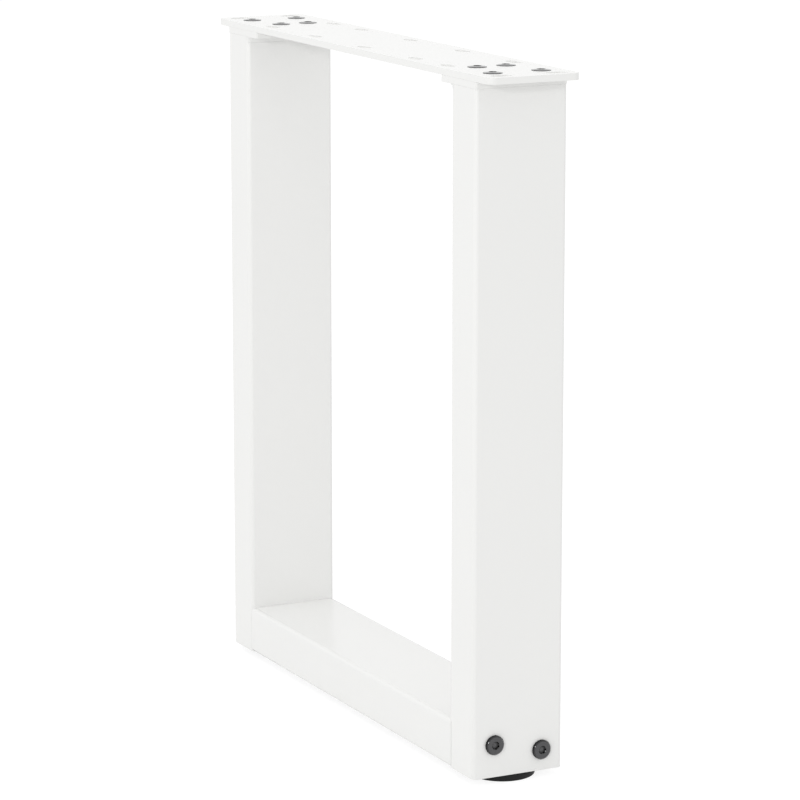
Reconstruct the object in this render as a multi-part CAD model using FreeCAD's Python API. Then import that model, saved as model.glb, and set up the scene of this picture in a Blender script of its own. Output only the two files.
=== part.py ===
import FreeCAD, Part
import math
import os

# U-shaped table leg: two upright tubes, a flat bar between their feet, and a slotted plate
# across their tops, bolted together so that it ships flat.
# Sizes are in millimetres. X runs along the leg, Y from its front to its back and Z upwards.
# The origin is on the floor, under the middle of the leg.

# Rectangular steel tube, the same stock for the two posts and the bar
tube_depth = 60.0
tube_width = 30.0
tube_wall = 1.5
tube_corner = 2.5

# The leg over its posts, without the feet
leg_width = 344.0
leg_height = 418.5

# Top plate, which the table top is screwed to
plate_thickness = 4.0
plate_overhang = 16.5
plate_corner = 5.0

# Slots for the wood screws. Four lie inside the flanges, three more stand in each long row,
# shifted to opposite sides of the middle, and two run across each end.
slot_width = 6.0
slot_length = 13.0
slot_edge = 8.5
slot_to_flange = 0.5
middle_slot_share = 0.2
middle_slot_shift = 11.4
end_slot_edge = 12.1
end_slot_inset = 8.3

# Flange welded on each post, which the top plate is screwed down on
flange_thickness = 4.0
flange_length = 43.5
flange_corner = 1.0
weld_leg = 4.0

# Countersunk socket screws of the top plate, four in each flange. Their heads stand a little
# proud, and the inner two of each four are nearer together than the outer two.
screw_radius = 3.0
screw_head_radius = 5.7
screw_proud = 0.7
screw_tip_gap = 0.2
outer_screw_inset = 6.2
outer_screw_edge = 14.2
inner_screw_inset = 37.1
inner_screw_share = 0.6
socket_flats = 4.0
socket_depth = 2.4
first_socket_turn = 10.0
socket_turn_step = 22.0

# Bolts through the foot of each post into the bar, one higher than the other
bolt_radius = 3.0
bolt_spare = 2.0
bolt_head_radius = 6.0
bolt_head_height = 2.2
bolt_edge = 14.2
upper_bolt_drop = 10.0
lower_bolt_rise = 5.0
bar_plate_thickness = 8.0

# Levelling foot: a plastic pad moulded on the hexagon head of a threaded stud
pad_radius = 20.0
pad_height = 4.2
foot_inset = 10.0
foot_travel = 10.0
stud_radius = 4.0
stud_head_flats = 13.0
stud_head_height = 2.4
stud_head_turn = 30.0
stud_spare = 1.0
foot_plate_thickness = 8.0

# Clearances
thread_gap = 0.1
running_gap = 0.05
bolt_hole_gap = 0.3
insert_gap = 0.1
pad_gap = 0.3

# Heights and places that follow from the sizes above
leg_bottom = pad_height + pad_gap
plate_top = leg_bottom + leg_height
plate_bottom = plate_top - plate_thickness
post_top = plate_bottom - flange_thickness
post_outer_x = leg_width / 2
post_inner_x = post_outer_x - tube_width
half_depth = tube_depth / 2
flange_end_x = post_outer_x - flange_length
plate_end_x = post_outer_x + plate_overhang
slot_row_y = half_depth - slot_edge
outer_screw_y = half_depth - outer_screw_edge
inner_screw_y = outer_screw_y * inner_screw_share
screw_length = plate_thickness + flange_thickness - screw_tip_gap
bolt_y = half_depth - bolt_edge
foot_plate_top = leg_bottom + foot_plate_thickness
upper_bolt_z = leg_bottom + tube_width - upper_bolt_drop
lower_bolt_z = foot_plate_top + lower_bolt_rise
bolt_length = tube_width + bar_plate_thickness + bolt_spare
foot_x = post_inner_x + foot_inset

Vector = FreeCAD.Vector
ALONG_X = Vector(1, 0, 0)
ALONG_Y = Vector(0, 1, 0)
ALONG_Z = Vector(0, 0, 1)


def block(low, high):
    """A plain block between two corners."""
    size = high - low
    return Part.makeBox(size.x, size.y, size.z, low)


def edges_along(shape, axis):
    """The straight edges of a block that run along one axis."""
    return [edge for edge in shape.Edges if abs(edge.tangentAt(0).dot(axis)) > 0.5]


def rounded_block(low, high, radius, axis):
    """A block between two corners, with its four edges along one axis rounded."""
    plain = block(low, high)
    return plain.makeFillet(radius, edges_along(plain, axis))


def hexagon(flats, height, turn):
    """A hexagonal prism upwards from the origin."""
    corner = flats / 2 / math.cos(math.pi / 6)
    angles = [math.radians(turn + 60 * step) for step in range(7)]
    points = [Vector(corner * math.cos(a), corner * math.sin(a), 0) for a in angles]
    return Part.Face(Part.makePolygon(points)).extrude(ALONG_Z * height)


def turned(outline):
    """The solid swept about Z by an outline given as radius and height."""
    points = [Vector(radius, 0, height) for radius, height in outline]
    return Part.Face(Part.makePolygon(points + points[:1])).revolve(Vector(0, 0, 0), ALONG_Z, 360)


def placed(shape, position, direction):
    """The shape moved so that its origin is at a position and its Z axis along a direction."""
    turn = FreeCAD.Rotation(ALONG_Z, direction)
    moved = shape.copy()
    moved.Placement = FreeCAD.Placement(position, turn)
    return moved


def tube(low, high, axis):
    """A length of rectangular tube between two corners, open at both ends."""
    inset = (Vector(1, 1, 1) - axis) * tube_wall
    return rounded_block(low, high, tube_corner, axis).cut(block(low + inset, high - inset))


def slot_cutter(x, y, axis):
    """A straight slot with round ends, cut right through the top plate along one axis."""
    radius = slot_width / 2
    half = slot_length / 2 - radius
    across = ALONG_Z.cross(axis)
    centre = Vector(x, y, plate_bottom)
    corners = [
        centre + axis * (half * side) + across * (radius * edge)
        for side, edge in ((-1, -1), (1, -1), (1, 1), (-1, 1))
    ]
    tips = [centre + axis * ((half + radius) * side) for side in (-1, 1)]
    outline = [
        Part.makeLine(corners[0], corners[1]),
        Part.Arc(corners[1], tips[1], corners[2]).toShape(),
        Part.makeLine(corners[2], corners[3]),
        Part.Arc(corners[3], tips[0], corners[0]).toShape(),
    ]
    return Part.Face(Part.Wire(outline)).extrude(ALONG_Z * plate_thickness)


def slot_cutters():
    """All the slots of the top plate, the same when the plate is turned end for end."""
    corner_slot_x = flange_end_x - slot_to_flange - slot_length / 2
    end_slot_x = post_outer_x + end_slot_inset
    end_slot_y = half_depth - end_slot_edge
    pitch = leg_width * middle_slot_share
    cutters = []
    for side in (-1, 1):
        cutters.append(slot_cutter(corner_slot_x * side, -slot_row_y, ALONG_X))
        cutters.append(slot_cutter(corner_slot_x * side, slot_row_y, ALONG_X))
        for step in (-1, 0, 1):
            middle_x = side * (middle_slot_shift + step * pitch)
            cutters.append(slot_cutter(middle_x, -side * slot_row_y, ALONG_X))
        for end_y in (-end_slot_y, end_slot_y):
            cutters.append(slot_cutter(end_slot_x * side, end_y, ALONG_Y))
    return cutters


def screw_places():
    """Where the four screws of the right flange meet the plate's upper face."""
    outer_x = post_outer_x - outer_screw_inset
    inner_x = post_outer_x - inner_screw_inset
    places = [Vector(outer_x, side * outer_screw_y, plate_top) for side in (-1, 1)]
    return places + [Vector(inner_x, side * inner_screw_y, plate_top) for side in (-1, 1)]


def countersink_cutter():
    """The clearance hole and the cone that takes a screw's head, below the origin."""
    hole_radius = screw_radius + bolt_hole_gap
    mouth_radius = screw_head_radius + thread_gap
    return turned(
        [
            (0, 0),
            (mouth_radius, 0),
            (hole_radius, hole_radius - mouth_radius),
            (hole_radius, -plate_thickness),
            (0, -plate_thickness),
        ]
    )


def top_plate():
    """The slotted plate, with eight countersunk holes."""
    low = Vector(-plate_end_x, -half_depth, plate_bottom)
    high = Vector(plate_end_x, half_depth, plate_top)
    blank = rounded_block(low, high, plate_corner, ALONG_Z)
    cutters = slot_cutters()
    for place in screw_places():
        hole = placed(countersink_cutter(), place, ALONG_Z)
        cutters.append(hole)
        cutters.append(half_turned(hole))
    return blank.cut(cutters)


def flange():
    """The plate on a post's top, with a tapped hole under each screw."""
    low = Vector(flange_end_x, -half_depth, post_top)
    high = Vector(post_outer_x, half_depth, plate_bottom)
    plain = block(low, high)
    blank = plain.makeChamfer(flange_corner, edges_along(plain, ALONG_Z))
    holes = []
    for place in screw_places():
        start = Vector(place.x, place.y, post_top)
        holes.append(Part.makeCylinder(screw_radius + thread_gap, flange_thickness, start))
    return blank.cut(holes)


def post_corners():
    """The lowest and highest corners of the right post."""
    low = Vector(post_inner_x, -half_depth, leg_bottom)
    high = Vector(post_outer_x, half_depth, post_top)
    return low, high


def flange_weld():
    """The hollow bead in the corner between a post and its flange, round the post's edges."""
    corner = Vector(post_inner_x, -half_depth, post_top)
    on_flange = corner - ALONG_X * weld_leg
    on_post = corner - ALONG_Z * weld_leg
    outwards = (ALONG_X + ALONG_Z).normalize()
    middle = on_flange - ALONG_Z * weld_leg + outwards * weld_leg
    round_edge = ALONG_X * tube_corner
    outline = [
        Part.makeLine(corner + round_edge, on_flange),
        Part.Arc(on_flange, middle, on_post).toShape(),
        Part.makeLine(on_post, on_post + round_edge),
        Part.makeLine(on_post + round_edge, corner + round_edge),
    ]
    bead = Part.Face(Part.Wire(outline)).extrude(ALONG_Y * tube_depth)
    low, high = post_corners()
    return bead.cut(rounded_block(low, high, tube_corner, ALONG_Z))


def bolt_places():
    """Where the two bolts enter the right post's outer face, one near each edge."""
    return [Vector(post_outer_x, -bolt_y, upper_bolt_z), Vector(post_outer_x, bolt_y, lower_bolt_z)]


def bolt_holes(radius):
    """Straight holes along both bolts, from the post's outer face into the bar."""
    return [Part.makeCylinder(radius, bolt_length, place, -ALONG_X) for place in bolt_places()]


def post():
    """An upright, with a bolt hole through both of its broad walls at each bolt."""
    low, high = post_corners()
    return tube(low, high, ALONG_Z).cut(bolt_holes(bolt_radius + bolt_hole_gap))


def bottom_bar():
    """The flat tube between the posts."""
    low = Vector(-post_inner_x, -half_depth, leg_bottom)
    high = Vector(post_inner_x, half_depth, leg_bottom + tube_width)
    return tube(low, high, ALONG_X)


def bar_plate():
    """The plate welded flush inside the bar's end, with tapped holes for the bolts."""
    inset = tube_wall + insert_gap
    inner_x = post_inner_x - bar_plate_thickness
    low = Vector(inner_x, inset - half_depth, leg_bottom + inset)
    high = Vector(post_inner_x, half_depth - inset, leg_bottom + tube_width - inset)
    return block(low, high).cut(bolt_holes(bolt_radius + thread_gap))


def socket(top, turn):
    """The hexagon socket sunk below a head's top."""
    return hexagon(socket_flats, socket_depth, turn).translated(ALONG_Z * (top - socket_depth))


def top_screw(turn):
    """A countersunk screw, pointing down, with the plate's face at its origin."""
    body = turned(
        [
            (0, screw_proud),
            (screw_head_radius, screw_proud),
            (screw_head_radius, 0),
            (screw_radius, screw_radius - screw_head_radius),
            (screw_radius, -screw_length),
            (0, -screw_length),
        ]
    )
    return body.cut(socket(screw_proud, turn))


def side_bolt(turn):
    """A bolt with a low flat head, pointing down, with its seat at the origin."""
    body = turned(
        [
            (0, bolt_head_height),
            (bolt_head_radius, bolt_head_height),
            (bolt_head_radius, 0),
            (bolt_radius, 0),
            (bolt_radius, -bolt_length),
            (0, -bolt_length),
        ]
    )
    return body.cut(socket(bolt_head_height, turn))


def foot_plate():
    """The plate welded flush inside the post's lower end, tapped for the foot's stud."""
    inset = tube_wall + insert_gap
    low = Vector(post_inner_x + inset, inset - half_depth, leg_bottom)
    high = Vector(post_outer_x - inset, half_depth - inset, foot_plate_top)
    centre = Vector(foot_x, 0, leg_bottom)
    hole = Part.makeCylinder(stud_radius + running_gap, foot_plate_thickness, centre)
    return block(low, high).cut(hole)


def foot_pad():
    """The round pad that stands on the floor, with the pocket of the stud's head."""
    pad = Part.makeCylinder(pad_radius, pad_height)
    pocket = hexagon(stud_head_flats + 2 * running_gap, stud_head_height, stud_head_turn)
    pocket.translate(ALONG_Z * (pad_height - stud_head_height))
    return placed(pad.cut(pocket), Vector(foot_x, 0, 0), ALONG_Z)


def foot_stud():
    """The threaded stud, long enough to stay in its plate when the foot is let down."""
    length = foot_plate_top + foot_travel + stud_spare - pad_height
    head = hexagon(stud_head_flats, stud_head_height, stud_head_turn)
    shank = Part.makeCylinder(stud_radius, length, Vector(0, 0, stud_head_height))
    return placed(head.fuse(shank), Vector(foot_x, 0, pad_height - stud_head_height), ALONG_Z)


def right_end():
    """Every piece of the right-hand end that isn't a screw, by name."""
    return {
        "post": post(),
        "flange": flange(),
        "flange_weld": flange_weld(),
        "bar_plate": bar_plate(),
        "foot_plate": foot_plate(),
        "foot_stud": foot_stud(),
        "foot_pad": foot_pad(),
    }


def half_turned(shape):
    """The same piece at the left-hand end: both ends are built alike and face each other."""
    turned_copy = shape.copy()
    turned_copy.rotate(Vector(0, 0, 0), ALONG_Z, 180)
    return turned_copy


def at_both_ends(shapes):
    """Like screws of both ends, as one group of separate solids."""
    return Part.makeCompound(shapes + [half_turned(shape) for shape in shapes])


def fasteners():
    """The screws and bolts by name, each socket turned its own way."""
    turns = [first_socket_turn + number * socket_turn_step for number in range(4)]
    screws = [
        placed(top_screw(turn), place, ALONG_Z) for turn, place in zip(turns, screw_places())
    ]
    bolts = [placed(side_bolt(turn), place, ALONG_X) for turn, place in zip(turns, bolt_places())]
    return {
        "outer_top_screws": at_both_ends(screws[:2]),
        "inner_top_screws": at_both_ends(screws[2:]),
        "upper_side_bolts": at_both_ends(bolts[:1]),
        "lower_side_bolts": at_both_ends(bolts[1:]),
    }


pieces = {"top_plate": top_plate(), "bottom_bar": bottom_bar()} | fasteners()
for name, shape in right_end().items():
    pieces["right_" + name] = shape
    pieces["left_" + name] = half_turned(shape)

os.makedirs("parts", exist_ok=True)
for name, shape in pieces.items():
    shape.exportStep(f"parts/{name}.step")
    print(name, "solids", len(shape.Solids), "valid", shape.isValid(), "volume", round(shape.Volume, 1))
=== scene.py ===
import math
import bmesh
import bpy
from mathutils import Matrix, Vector


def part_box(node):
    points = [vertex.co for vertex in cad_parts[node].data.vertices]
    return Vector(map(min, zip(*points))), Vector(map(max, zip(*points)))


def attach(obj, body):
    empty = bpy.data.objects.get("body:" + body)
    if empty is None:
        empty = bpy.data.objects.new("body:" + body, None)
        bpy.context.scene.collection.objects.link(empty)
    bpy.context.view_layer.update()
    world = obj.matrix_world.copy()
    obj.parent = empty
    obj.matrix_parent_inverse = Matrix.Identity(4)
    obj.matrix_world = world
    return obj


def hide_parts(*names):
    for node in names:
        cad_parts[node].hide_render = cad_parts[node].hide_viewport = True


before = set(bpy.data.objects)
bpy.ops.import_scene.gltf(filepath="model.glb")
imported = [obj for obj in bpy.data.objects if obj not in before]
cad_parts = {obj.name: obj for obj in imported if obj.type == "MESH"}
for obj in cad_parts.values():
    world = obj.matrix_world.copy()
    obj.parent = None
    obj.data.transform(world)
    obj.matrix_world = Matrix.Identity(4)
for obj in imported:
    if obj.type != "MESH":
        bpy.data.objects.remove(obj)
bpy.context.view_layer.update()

# Top plate. Flat steel, laser cut with its slots and countersunk holes, then sprayed with white
# satin powder and baked, as all the white pieces are. The powder melts to a faint orange peel and
# rolls over the cut edges, so that the outline and each slot end up softly rounded.
coat_colour = (0.875, 0.875, 0.862, 1)
coat_roughness = 0.2
peel_size = 0.0011
peel_depth = 0.000012
coat_edge = 0.00015
plate_roll = 0.0003
roll_steps = 3
relief_detail = 2
relief_fade = 0.45
cloud_scale = 14
cloud_detail = 3
cloud_shade = 0.985
gloss_spread = 0.04
edge_samples = 4
same_place = 1e-6
flat_bend = 0.5
straight_on = 0.9999


def fine_skin():
    """A fine relief, a slight clouding and soft edges, by the place on the piece: orange peel on
    the coat, and grain on steel and nylon."""
    group = bpy.data.node_groups.new("fine_skin", "ShaderNodeTree")
    for label, kind in (
        ("Colour", "NodeSocketColor"),
        ("Roughness", "NodeSocketFloat"),
        ("Relief size", "NodeSocketFloat"),
        ("Relief depth", "NodeSocketFloat"),
        ("Edge radius", "NodeSocketFloat"),
    ):
        group.interface.new_socket(label, in_out="INPUT", socket_type=kind)
    for label, kind in (
        ("Colour", "NodeSocketColor"),
        ("Roughness", "NodeSocketFloat"),
        ("Normal", "NodeSocketVector"),
    ):
        group.interface.new_socket(label, in_out="OUTPUT", socket_type=kind)
    node, link = group.nodes.new, group.links.new
    given, made = node("NodeGroupInput"), node("NodeGroupOutput")

    place = node("ShaderNodeTexCoord")
    per_metre = node("ShaderNodeMath")
    per_metre.operation = "DIVIDE"
    per_metre.inputs[0].default_value = 1
    link(given.outputs["Relief size"], per_metre.inputs[1])
    relief = node("ShaderNodeTexNoise")
    relief.inputs["Detail"].default_value = relief_detail
    relief.inputs["Roughness"].default_value = relief_fade
    link(place.outputs["Object"], relief.inputs["Vector"])
    link(per_metre.outputs[0], relief.inputs["Scale"])

    cloud = node("ShaderNodeTexNoise")
    cloud.inputs["Scale"].default_value = cloud_scale
    cloud.inputs["Detail"].default_value = cloud_detail
    link(place.outputs["Object"], cloud.inputs["Vector"])
    shade = node("ShaderNodeMapRange")
    shade.inputs["To Min"].default_value = cloud_shade
    shade.inputs["To Max"].default_value = 1
    link(cloud.outputs["Fac"], shade.inputs["Value"])
    tint = node("ShaderNodeMix")
    tint.data_type = "RGBA"
    tint.blend_type = "MULTIPLY"
    tint.inputs["Factor"].default_value = 1
    link(given.outputs["Colour"], tint.inputs["A"])
    link(shade.outputs["Result"], tint.inputs["B"])
    link(tint.outputs["Result"], made.inputs["Colour"])

    dull = node("ShaderNodeMapRange")
    dull.inputs["To Min"].default_value = -gloss_spread
    dull.inputs["To Max"].default_value = gloss_spread
    link(relief.outputs["Fac"], dull.inputs["Value"])
    gloss = node("ShaderNodeMath")
    gloss.operation = "ADD"
    link(given.outputs["Roughness"], gloss.inputs[0])
    link(dull.outputs["Result"], gloss.inputs[1])
    link(gloss.outputs[0], made.inputs["Roughness"])

    rolled = node("ShaderNodeBevel")
    rolled.samples = edge_samples
    link(given.outputs["Edge radius"], rolled.inputs["Radius"])
    bump = node("ShaderNodeBump")
    link(given.outputs["Relief depth"], bump.inputs["Distance"])
    link(relief.outputs["Fac"], bump.inputs["Height"])
    link(rolled.outputs["Normal"], bump.inputs["Normal"])
    link(bump.outputs["Normal"], made.inputs["Normal"])
    return group


skin_group = fine_skin()


def skinned(name, colour, roughness, relief_size, relief_depth, edge_radius):
    """A material with the fine skin, in its own colour, gloss and relief."""
    material = bpy.data.materials.new(name)
    material.use_nodes = True
    nodes, link = material.node_tree.nodes, material.node_tree.links.new
    skin = nodes.new("ShaderNodeGroup")
    skin.node_tree = skin_group
    values = (colour, roughness, relief_size, relief_depth, edge_radius)
    for socket, value in zip(skin.inputs, values):
        socket.default_value = value
    shader = nodes["Principled BSDF"]
    link(skin.outputs["Colour"], shader.inputs["Base Color"])
    link(skin.outputs["Roughness"], shader.inputs["Roughness"])
    link(skin.outputs["Normal"], shader.inputs["Normal"])
    return material


white_coat = skinned(
    "white_powder_coat", coat_colour, coat_roughness, peel_size, peel_depth, coat_edge
)


def closed_copy(node, name):
    """A CAD piece again as one closed mesh with whole flat faces."""
    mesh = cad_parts[node].data.copy()
    shape = bmesh.new()
    shape.from_mesh(mesh)
    bmesh.ops.remove_doubles(shape, verts=shape.verts, dist=same_place)
    bmesh.ops.dissolve_limit(
        shape, angle_limit=math.radians(flat_bend), verts=shape.verts, edges=shape.edges
    )
    shape.to_mesh(mesh)
    shape.free()
    piece = bpy.data.objects.new(name, mesh)
    bpy.context.scene.collection.objects.link(piece)
    return piece


def coated(piece, roll, sharp_bend=35):
    """The piece in white, with its sharp edges rolled over by the thick coat."""
    roller = piece.modifiers.new("rolled edges", "BEVEL")
    roller.width = roll
    roller.segments = roll_steps
    roller.limit_method = "ANGLE"
    roller.angle_limit = math.radians(sharp_bend)
    rolled = piece.evaluated_get(bpy.context.evaluated_depsgraph_get())
    piece.data = bpy.data.meshes.new_from_object(rolled)
    piece.modifiers.clear()
    for face in piece.data.polygons:
        face.use_smooth = max(abs(share) for share in face.normal) < straight_on
    piece.data.materials.clear()
    piece.data.materials.append(white_coat)
    return piece


plate = coated(closed_copy("top_plate", "slotted_top_plate"), plate_roll)
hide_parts("top_plate")
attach(plate, "frame")

# Posts and bottom bar. Lengths of 60 x 30 mm rectangular tube with rounded long edges. The bar's
# ends are cut to hug the posts' rounded edges, so that only a hairline shows at each joint.
tube_corner = 0.0025
tube_roll = 0.00006
tube_bend = 50
corner_steps = 16
joint_gap = 0.00005
cut_rise = 0.06


def post_outline(side):
    """The space that a post's foot takes up, with its rounded edges and the gap of a joint."""
    low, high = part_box(f"{side}_post")
    shape = bmesh.new()
    ring_round = []
    corners = ((high.x, high.y), (low.x, high.y), (low.x, low.y), (high.x, low.y))
    for quarter, (x, y) in enumerate(corners):
        toward_x = 1 if x == high.x else -1
        toward_y = 1 if y == high.y else -1
        for step in range(corner_steps + 1):
            turn = math.pi / 2 * (quarter + step / corner_steps)
            across = x - toward_x * tube_corner + (tube_corner + joint_gap) * math.cos(turn)
            along = y - toward_y * tube_corner + (tube_corner + joint_gap) * math.sin(turn)
            ring_round.append(shape.verts.new((across, along, low.z - tube_corner)))
    foot = shape.faces.new(ring_round)
    risen = bmesh.ops.extrude_face_region(shape, geom=[foot])["geom"]
    for vertex in risen:
        if isinstance(vertex, bmesh.types.BMVert):
            vertex.co.z = low.z + cut_rise
    bmesh.ops.recalc_face_normals(shape, faces=shape.faces)
    mesh = bpy.data.meshes.new(f"{side}_post_outline")
    shape.to_mesh(mesh)
    shape.free()
    outline = bpy.data.objects.new(f"{side}_post_outline", mesh)
    bpy.context.scene.collection.objects.link(outline)
    return outline


for side in ("right", "left"):
    post = coated(closed_copy(f"{side}_post", f"{side}_tube"), tube_roll, tube_bend)
    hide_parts(f"{side}_post")
    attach(post, "frame")

bar = closed_copy("bottom_bar", "bar_tube")
bar_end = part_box("bottom_bar")[1].x
for vertex in bar.data.vertices:
    if abs(vertex.co.x) > bar_end - same_place:
        vertex.co.x += math.copysign(tube_corner, vertex.co.x)
outlines = [post_outline(side) for side in ("right", "left")]
for outline in outlines:
    cope = bar.modifiers.new("coped end", "BOOLEAN")
    cope.operation = "DIFFERENCE"
    cope.solver = "EXACT"
    cope.object = outline
coated(bar, tube_roll, tube_bend)
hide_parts("bottom_bar")
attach(bar, "frame")
for outline in outlines:
    bpy.data.meshes.remove(outline.data)

# Flanges. A short steel plate is welded on the top of each post, flush with its outer face, and
# is drilled and tapped for the four screws of the top plate. It has the same white coat.
flange_roll = 0.00012
for side in ("right", "left"):
    flange = coated(closed_copy(f"{side}_flange", f"{side}_screw_flange"), flange_roll)
    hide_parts(f"{side}_flange")
    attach(flange, "frame")

# Weld beads. One pass of wire runs under each flange along the post's inner face. It freezes in
# small overlapping ripples, which the coat softens but doesn't hide.
ripple_pitch = 0.0016
ripple_rise = 0.05
wander_rise = 0.02
wander_rate = 0.37
throat_level = 0.36
flush_throat = 0.3
bead_hollow = 0.45
bead_start = 0.8
start_rate = 24
bead_steps = 144
bead_points = 9
bead_bend = 50


def scene_piece(shape, name, sharp_bend, *materials):
    """A shape as a piece of the scene, smooth between its sharp edges."""
    mesh = bpy.data.meshes.new(name)
    shape.to_mesh(mesh)
    shape.free()
    mesh.shade_smooth()
    mesh.set_sharp_from_angle(angle=math.radians(sharp_bend))
    for material in materials:
        mesh.materials.append(material)
    piece = bpy.data.objects.new(name, mesh)
    bpy.context.scene.collection.objects.link(piece)
    return piece


def weld_bead(side):
    """A rippled hollow bead in the corner between the flange and the post."""
    low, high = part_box(f"{side}_flange_weld")
    post_low, post_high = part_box(f"{side}_post")
    leg = high.z - low.z
    face_x = post_high.x if side == "left" else post_low.x
    outwards = 1 if side == "left" else -1
    shape = bmesh.new()
    rows = []
    for step in range(bead_steps + 1):
        share = step / bead_steps
        y = low.y + (high.y - low.y) * share
        phase = (y - low.y) / ripple_pitch
        ripple = ripple_rise * abs(math.sin(math.pi * phase))
        throat = throat_level + ripple + wander_rise * math.sin(phase * wander_rate)
        end = min(1, start_rate * share, start_rate * (1 - share)) ** 0.5
        width = leg * (bead_start + (1 - bead_start) * end)
        round_edge = max(0, abs(y) - high.y + tube_corner)
        root_x = face_x - outwards * (tube_corner - math.sqrt(tube_corner**2 - round_edge**2))
        row = [shape.verts.new((root_x, y, high.z))]
        for point in range(bead_points):
            turn = point / (bead_points - 1)
            middle = 4 * turn * (1 - turn)
            pull = 1 - bead_hollow * middle * (1 - middle * (throat - flush_throat))
            across = (1 - turn) * width * pull
            down = turn * width * pull
            row.append(shape.verts.new((root_x + outwards * across, y, high.z - down)))
        rows.append(row)
    for row, after in zip(rows, rows[1:]):
        for point in range(len(row)):
            beside = (point + 1) % len(row)
            shape.faces.new((row[point], row[beside], after[beside], after[point]))
    shape.faces.new(rows[0])
    shape.faces.new(rows[-1])
    bmesh.ops.recalc_face_normals(shape, faces=shape.faces)
    return scene_piece(shape, f"{side}_weld_bead", bead_bend, white_coat)


for side in ("right", "left"):
    bead = weld_bead(side)
    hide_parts(f"{side}_flange_weld")
    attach(bead, "frame")

# Closing plates. Thick tapped plates are welded into the tubes' open ends, flush, and painted
# with them: one in each end of the bar for the bolts, and one in each post for its foot.
for side in ("right", "left"):
    for node in (f"{side}_bar_plate", f"{side}_foot_plate"):
        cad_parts[node].data.materials.clear()
        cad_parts[node].data.materials.append(white_coat)

# Top screws. Countersunk steel screws with a thin, slightly domed crown that stands a little
# proud, blackened and sealed. The crown, the socket's chamfered mouth and its drilled floor
# shine. The crown's edge, the socket's pressed walls and the shank are dull. The crown has the
# steel's own black. The other bands are a deeper black, which is painted shade on the crown's
# edge and in the socket.
crown_radius = 0.0057
crown_height = 0.0007
crown_fall = 0.00045
crown_round = 0.00006
crown_steps = 6
shank_radius = 0.003
shank_length = 0.0078
shank_tip = 0.0008
tip_share = 0.75
socket_half = 0.002
socket_mouth = socket_half * 1.25
mouth_depth = 0.0005
socket_depth = 0.0015
drill_share = 0.62
drill_edge = 0.0002
drill_depth = 0.0005
drill_point = 0.0002
outer_x, outer_y = 0.1658, 0.0158
inner_x, inner_y = 0.1349, 0.00948
first_turn = 10
turn_step = 22
turned_sides = 96
black_bend = 38
crown_black = (0.058, 0.058, 0.061, 1)
# A deeper black than the steel's own, which is painted shade for the dark rims, edges and socket
# walls.
painted_shade_black = (0.012, 0.012, 0.013, 1)
satin, matt = 0.3, 0.6
sealed_roughness = 0.08
grain_size = 0.0003
grain_depth = 0.000002
steel_edge = 0.0001


def steel(name, colour, roughness, sealed):
    """Blackened or plated steel with a very fine grain, and a clear seal where it has one."""
    material = skinned(name, colour, roughness, grain_size, grain_depth, steel_edge)
    shader = material.node_tree.nodes["Principled BSDF"]
    shader.inputs["Metallic"].default_value = 1
    shader.inputs["Coat Weight"].default_value = 1 if sealed else 0
    shader.inputs["Coat Roughness"].default_value = sealed_roughness
    return material


# The crown finish is the steel's own black. The dull and the glossy finishes carry the deeper black
# of painted shade. Their matt or shiny skin is real.
black_finishes = (
    steel("sealed_black_steel", crown_black, satin, sealed=True),
    steel("dull_steel_painted_shade", painted_shade_black, matt, sealed=False),
    steel("glossy_steel_painted_shade", painted_shade_black, satin, sealed=True),
)
crown_finish, dull_painted_shade, glossy_painted_shade = 0, 1, 2


def ring(radius, height, finish=0, hexagonal=False, knurl=0):
    """A ring of a turned part. The finish is that of the band that ends at the ring, and the
    knurl is how deep its teeth are cut."""
    return radius, height, finish, hexagonal, knurl


def turned_part(shape, rings, seat, axis, turn):
    """Rings joined into a turned solid on its seat."""
    facing = axis.to_track_quat("Z", "Y")
    rows = []
    for radius, height, _, hexagonal, knurl in rings:
        row = []
        for step in range(turned_sides):
            angle = 2 * math.pi * step / turned_sides
            reach = radius - knurl * (step % 2)
            if hexagonal:
                reach /= math.cos((angle + math.pi / 6) % (math.pi / 3) - math.pi / 6)
            spin = angle + math.radians(turn)
            point = Vector((reach * math.cos(spin), reach * math.sin(spin), height))
            row.append(shape.verts.new(seat + facing @ point))
        rows.append(row)
    for row, after, (_, _, finish, _, _) in zip(rows, rows[1:], rings[1:]):
        for step in range(turned_sides):
            beside = (step + 1) % turned_sides
            face = shape.faces.new((row[step], row[beside], after[beside], after[step]))
            face.material_index = finish
    shape.faces.new(reversed(rows[0])).material_index = rings[0][2]
    shape.faces.new(rows[-1]).material_index = rings[-1][2]


def socket_rings(top):
    """The rings of a pressed hexagon socket, from its chamfered mouth to its drilled floor, with the
    chamfer and the walls in a deeper black that is painted shade.
    """
    floor_edge = top - socket_depth
    return [
        ring(socket_mouth, top, crown_finish),
        ring(socket_half, top - mouth_depth, glossy_painted_shade, hexagonal=True),
        ring(socket_half, floor_edge, dull_painted_shade, hexagonal=True),
        ring(socket_half * drill_share, floor_edge - drill_edge, glossy_painted_shade),
        ring(drill_point, floor_edge - drill_depth, crown_finish),
    ]


def both_ends(places, axis, first):
    """Seats at the right-hand end and, turned round, at the left-hand end."""
    seats = []
    for number, (x, y, z) in enumerate(places, first):
        turn = first_turn + number * turn_step
        seats.append(((x, y, z), axis, turn))
        seats.append(((-x, -y, z), (-axis[0], -axis[1], axis[2]), turn))
    return seats


def fasteners(name, rings, seats):
    """Like black screws as one piece, each turned on its own seat."""
    shape = bmesh.new()
    for seat, axis, turn in seats:
        turned_part(shape, rings, Vector(seat), Vector(axis), turn)
    return scene_piece(shape, name, black_bend, *black_finishes)


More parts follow.
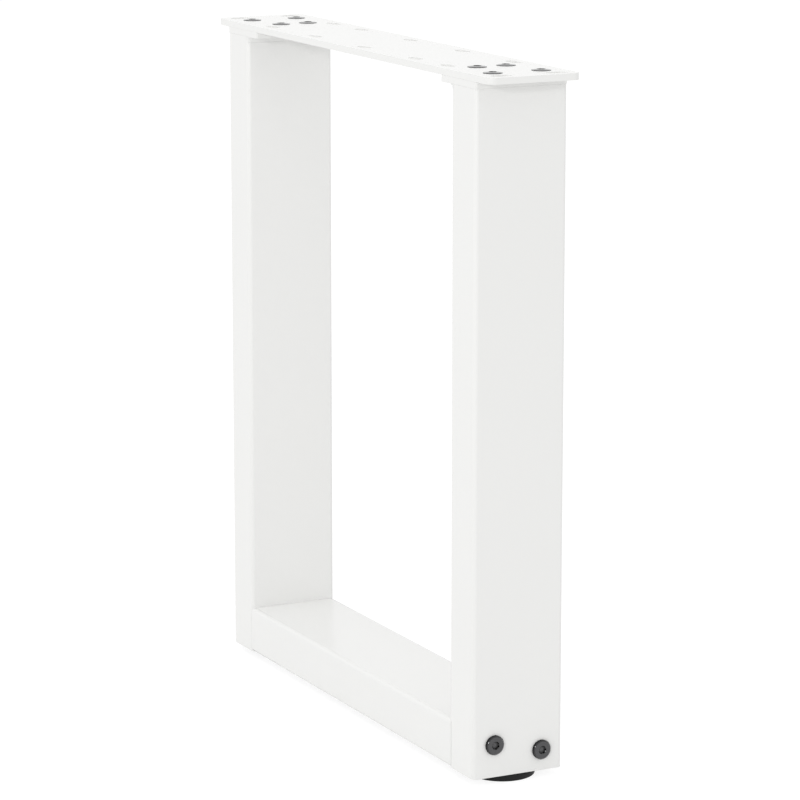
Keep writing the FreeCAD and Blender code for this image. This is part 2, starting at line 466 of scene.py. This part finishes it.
screw_rings = [
    ring(shank_radius * tip_share, -shank_length, dull_painted_shade),
    ring(shank_radius, -shank_length + shank_tip, dull_painted_shade),
    ring(shank_radius, shank_radius - crown_radius, dull_painted_shade),
    ring(crown_radius, 0, dull_painted_shade),
    ring(crown_radius, crown_height - crown_fall - crown_round, dull_painted_shade),
]
crown_edge = crown_radius - crown_round
for step in range(crown_steps):
    reach = crown_edge + (socket_mouth - crown_edge) * step / crown_steps
    fall = crown_fall * (reach**2 - socket_mouth**2) / (crown_edge**2 - socket_mouth**2)
    screw_rings.append(ring(reach, crown_height - fall, crown_finish))
screw_rings += socket_rings(crown_height)
plate_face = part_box("top_plate")[1].z
for name, node, x, y, first in (
    ("outer_screws", "outer_top_screws", outer_x, outer_y, 0),
    ("inner_screws", "inner_top_screws", inner_x, inner_y, 2),
):
    seats = both_ends([(x, -y, plate_face), (x, y, plate_face)], (0, 0, 1), first)
    screws = fasteners(name, screw_rings, seats)
    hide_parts(node)
    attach(screws, "frame")

# Side bolts. Longer bolts of the same blackened steel, with a low flat head, a knurled side and a
# bevelled rim that catches the light. The side and the rim are a deeper black than the face, which
# is painted shade for their dark ring. Their knurl and the lamp's spark on the rim are real. They
# pass through the post's foot into the tapped plate in the bar's end.
head_radius = 0.006
head_height = 0.0022
head_round = 0.0001
rim_width = 0.0007
rim_height = 0.0006
neck_chamfer = 0.0002
knurl_depth = 0.00012
bolt_length = 0.04
bolt_spread = 0.0158
upper_height = 0.0245
lower_height = 0.0175
bolt_rings = [
    ring(shank_radius * tip_share, -bolt_length, dull_painted_shade),
    ring(shank_radius, -bolt_length + shank_tip, dull_painted_shade),
    ring(shank_radius, 0, dull_painted_shade),
    ring(head_radius - neck_chamfer, 0, dull_painted_shade),
    ring(head_radius, neck_chamfer, dull_painted_shade, knurl=knurl_depth),
    ring(head_radius, head_height - rim_height - head_round, dull_painted_shade, knurl=knurl_depth),
    ring(head_radius - head_round, head_height - rim_height, dull_painted_shade),
    ring(head_radius - head_round - rim_width, head_height, glossy_painted_shade),
] + socket_rings(head_height)
post_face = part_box("right_post")[1].x
for name, node, y, z, first in (
    ("upper_bolts", "upper_side_bolts", -bolt_spread, upper_height, 0),
    ("lower_bolts", "lower_side_bolts", bolt_spread, lower_height, 1),
):
    bolts = fasteners(name, bolt_rings, both_ends([(post_face, y, z)], (1, 0, 0), first))
    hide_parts(node)
    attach(bolts, "frame")

# Studs of the levelling feet. M8 rods with a rolled thread and a hexagon head, zinc plated. The
# thread shows between the post and the pad once a foot is screwed out.
stud_radius = 0.004
stud_tip = 0.0004
tip_narrowing = 0.0006
stud_head_half = 0.0065
stud_head_bottom = 0.0018
stud_head_top = 0.0042
head_side_chamfer = 0.0003
head_top_chamfer = 0.0002
thread_pitch = 0.00125
thread_depth = 0.00065
thread_sink = 0.0001
thread_start = 0.0002
thread_end = 0.0006
crest_shares = (0.44, 0.56)
root_shares = (0.06, 0.94)
thread_steps = 24
hexagon_turn = 30
foot_bend = 35
zinc_grey = (0.6, 0.61, 0.63, 1)
zinc_roughness = 0.28
zinc = steel("bright_zinc", zinc_grey, zinc_roughness, sealed=False)


def threaded_stud(side):
    """A hexagon-headed stud with a real helical thread."""
    low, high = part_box(f"{side}_foot_stud")
    centre = Vector(((low.x + high.x) / 2, 0, 0))
    core = stud_radius - thread_depth
    shape = bmesh.new()
    rings = [
        ring(stud_head_half, stud_head_bottom, hexagonal=True),
        ring(stud_head_half, stud_head_top - head_side_chamfer, hexagonal=True),
        ring(stud_head_half - head_top_chamfer, stud_head_top),
        ring(core, stud_head_top),
        ring(core, high.z - stud_tip),
        ring(core - tip_narrowing, high.z),
    ]
    turned_part(shape, rings, centre, Vector((0, 0, 1)), hexagon_turn)
    start = stud_head_top + thread_start
    turns = (high.z - thread_end - start) / thread_pitch - 1
    lines = []
    for step in range(int(turns * thread_steps)):
        angle = 2 * math.pi * step / thread_steps
        z = start + thread_pitch * step / thread_steps
        ease = min(1, step / thread_steps, (turns * thread_steps - step) / thread_steps)
        root, crest = core - thread_sink, core + thread_depth * ease
        line = []
        for reach, share in zip(
            (root, crest, crest, root), (root_shares[0], *crest_shares, root_shares[1])
        ):
            out = Vector((reach * math.cos(angle), reach * math.sin(angle), z + thread_pitch * share))
            line.append(shape.verts.new(centre + out))
        lines.append(line)
    for line, after in zip(lines, lines[1:]):
        for corner in range(len(line)):
            beside = (corner + 1) % len(line)
            shape.faces.new((line[corner], after[corner], after[beside], line[beside]))
    shape.faces.new(reversed(lines[0]))
    shape.faces.new(lines[-1])
    bmesh.ops.recalc_face_normals(shape, faces=shape.faces)
    return scene_piece(shape, f"{side}_threaded_stud", foot_bend, zinc)


for side in ("right", "left"):
    stud = threaded_stud(side)
    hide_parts(f"{side}_foot_stud")
    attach(stud, f"{side}_foot")

# Foot pads. Black nylon moulded round the stud's head. The lower edge is rounded, the skin is
# matt, and rings underneath grip the floor.
pad_radius = 0.02
pad_height = 0.0042
pad_edge = 0.0009
pad_edge_steps = 5
pad_shoulder = 0.0005
pad_shoulder_round = 0.00015
pad_top_ring = 0.0085
pocket_gap = 0.00005
hollow_centre = 0.0005
hollow_radius = 0.0095
hollow_depth = 0.0006
grip_starts = (0.0101, 0.0132, 0.0163)
grip_width = 0.0019
groove_flank = 0.0003
groove_width = 0.0006
groove_depth = 0.0004
nylon_black = (0.009, 0.009, 0.0095, 1)
nylon_roughness = 0.52
nylon_shine = 0.22
nylon_grain = 0.0004
nylon_grain_depth = 0.00002
nylon_edge = 0.0002
nylon = skinned(
    "black_nylon", nylon_black, nylon_roughness, nylon_grain, nylon_grain_depth, nylon_edge
)
nylon.node_tree.nodes["Principled BSDF"].inputs["Specular IOR Level"].default_value = nylon_shine


def foot_pad(side):
    """The round pad, with its hexagonal pocket and its grip rings."""
    low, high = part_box(f"{side}_foot_pad")
    centre = Vector(((low.x + high.x) / 2, 0, 0))
    rings = [ring(hollow_centre, hollow_depth), ring(hollow_radius, hollow_depth)]
    for inner in grip_starts:
        outer = inner + grip_width
        rings += [ring(inner, 0), ring(outer, 0)]
        if inner != grip_starts[-1]:
            rings.append(ring(outer + groove_flank, groove_depth))
            rings.append(ring(outer + groove_flank + groove_width, groove_depth))
    for step in range(pad_edge_steps + 1):
        turn = math.pi / 2 * step / pad_edge_steps
        across = pad_radius - pad_edge + pad_edge * math.sin(turn)
        rings.append(ring(across, pad_edge - pad_edge * math.cos(turn)))
    pocket = stud_head_half + pocket_gap
    rings += [
        ring(pad_radius, pad_height - pad_shoulder),
        ring(pad_radius - pad_shoulder_round, pad_height - pad_shoulder_round),
        ring(pad_radius - pad_shoulder, pad_height),
        ring(pad_top_ring, pad_height),
        ring(pocket, pad_height, hexagonal=True),
        ring(pocket, stud_head_bottom, hexagonal=True),
    ]
    shape = bmesh.new()
    turned_part(shape, rings, centre, Vector((0, 0, 1)), hexagon_turn)
    return scene_piece(shape, f"{side}_nylon_pad", foot_bend, nylon)


for side in ("right", "left"):
    pad = foot_pad(side)
    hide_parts(f"{side}_foot_pad")
    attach(pad, f"{side}_foot")

# Studio floor. A wide pale sheet that the leg stands on. It throws light back up like white
# paper, and looks white to the camera and in reflections wherever the leg doesn't shade it.
floor_reach = 12
paper_roughness = 0.9
paper_white = (0.9, 0.9, 0.9, 1)
shaded_white = (0.22, 0.22, 0.22, 1)
floor_glow = 0.86


def seen_rays(tree):
    """1 for rays from the camera, from a shine or through glass, and 0 for light's other rays."""
    rays = tree.nodes.new("ShaderNodeLightPath")
    seen = rays.outputs["Is Camera Ray"]
    for kind in ("Is Glossy Ray", "Is Transmission Ray"):
        either = tree.nodes.new("ShaderNodeMath")
        either.operation = "MAXIMUM"
        tree.links.new(seen, either.inputs[0])
        tree.links.new(rays.outputs[kind], either.inputs[1])
        seen = either.outputs[0]
    return seen


paper = bpy.data.materials.new("floor_paper")
paper.use_nodes = True
nodes, link = paper.node_tree.nodes, paper.node_tree.links.new
shader = nodes["Principled BSDF"]
shader.inputs["Roughness"].default_value = paper_roughness
shader.inputs["Specular IOR Level"].default_value = 0
shader.inputs["Emission Color"].default_value = (1, 1, 1, 1)
seen = seen_rays(paper.node_tree)
reply = nodes.new("ShaderNodeMix")
reply.data_type = "RGBA"
reply.inputs["A"].default_value = paper_white
reply.inputs["B"].default_value = shaded_white
link(seen, reply.inputs["Factor"])
link(reply.outputs["Result"], shader.inputs["Base Color"])
glow = nodes.new("ShaderNodeMath")
glow.operation = "MULTIPLY"
glow.inputs[1].default_value = floor_glow
link(seen, glow.inputs[0])
link(glow.outputs[0], shader.inputs["Emission Strength"])
floor_mesh = bpy.data.meshes.new("floor")
corners = [(-1, -1), (1, -1), (1, 1), (-1, 1)]
floor_mesh.from_pydata(
    [(x * floor_reach, y * floor_reach, 0) for x, y in corners], [], [(0, 1, 2, 3)]
)
floor_mesh.materials.append(paper)
floor = bpy.data.objects.new("floor", floor_mesh)
bpy.context.scene.collection.objects.link(floor)

# Light. An even pale room lights the leg from all sides. A lamp stands far out on its right-hand
# front, small enough to spark on the bolts' rims, and a wider one hangs high in front.
room_light = 0.84
lamp_aim = (0, 0, 0.2)
key_place, key_size, key_power = (3.4, -4.1, 1.8), 0.45, 41
high_place, high_size, high_power = (0.1, -0.75, 2.8), 1.0, 10
world = bpy.data.worlds.new("pale_room")
world.use_nodes = True
bpy.context.scene.world = world
nodes, link = world.node_tree.nodes, world.node_tree.links.new
level = nodes.new("ShaderNodeMapRange")
level.inputs["To Min"].default_value = room_light
level.inputs["To Max"].default_value = 1
link(seen_rays(world.node_tree), level.inputs["Value"])
link(level.outputs["Result"], nodes["Background"].inputs["Strength"])
nodes["Background"].inputs["Color"].default_value = (1, 1, 1, 1)

for name, place, size, power in (
    ("key_lamp", key_place, key_size, key_power),
    ("high_lamp", high_place, high_size, high_power),
):
    lamp = bpy.data.lights.new(name, "AREA")
    lamp.size = size
    lamp.energy = power
    stand = bpy.data.objects.new(name, lamp)
    stand.location = place
    aim = Vector(lamp_aim) - Vector(place)
    stand.rotation_euler = aim.to_track_quat("-Z", "Y").to_euler()
    bpy.context.scene.collection.objects.link(stand)

# Camera. It stands about two metres off the leg's right-hand front, a little above its top, and
# looks slightly down. Its place, lens and turn were fitted to edges measured in the photograph.
eye_place = (1.9948, -0.9959, 0.6643)
eye_lens = 163.78
eye_down = 11.771
eye_turn = 63.278
film_width = 36
far_limit = 100
eye = bpy.data.cameras.new("camera")
eye.sensor_width = film_width
eye.lens = eye_lens
eye.clip_end = far_limit
camera = bpy.data.objects.new("camera", eye)
camera.location = eye_place
camera.rotation_euler = (math.radians(90 - eye_down), 0, math.radians(eye_turn))
bpy.context.scene.collection.objects.link(camera)
bpy.context.scene.camera = camera
bpy.context.scene.view_settings.view_transform = "Standard"
